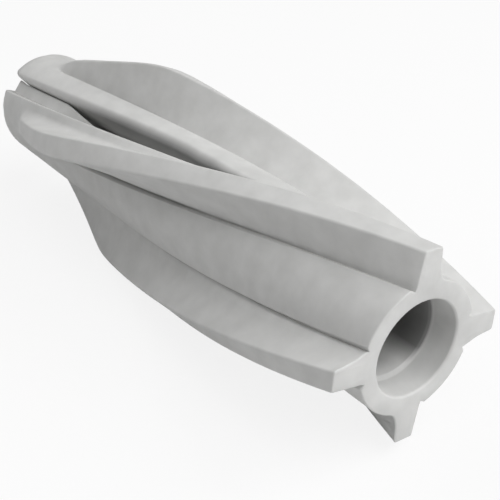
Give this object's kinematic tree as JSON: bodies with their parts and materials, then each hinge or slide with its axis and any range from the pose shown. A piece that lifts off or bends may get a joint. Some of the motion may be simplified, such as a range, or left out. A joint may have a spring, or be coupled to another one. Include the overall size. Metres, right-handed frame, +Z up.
{
  "type": "wall anchor",
  "caption": "Hollow wall anchor for aerated concrete with helical fins and two spreading legs at its slotted front.",
  "frame": {"origin": "centre of the rear end face, on the bore's axis", "axes": "+X along the axis, the way the screw leaves; the tip points to -X; +Z up, with one fin's end at the top of the rear face"},
  "size_m": [0.075, 0.0234, 0.0234],
  "materials": {
    "nylon": "light grey moulded nylon, satin, with faint flow marks"
  },
  "bodies": {
    "sleeve": {"rear_sleeve": "nylon"},
    "left_half": {"left_leg": "nylon"},
    "right_half": {"right_leg": "nylon"}
  },
  "joints": [
    {"name": "left_leg_spread", "type": "hinge", "parent": "sleeve", "child": "left_half", "pos_m": [-0.025, -0.0112, 0], "axis": [0, 0, 1], "range_deg": [0, 2.3], "stiffness_Nm_per_rad": 8.6},
    {"name": "right_leg_spread", "type": "hinge", "parent": "sleeve", "child": "right_half", "pos_m": [-0.025, 0.0112, 0], "axis": [0, 0, -1], "range_deg": [0, 2.3], "stiffness_Nm_per_rad": 8.6}
  ],
  "couplings": [
    {"joint": "right_leg_spread", "follows": "left_leg_spread", "ratio": 1}
  ]
}
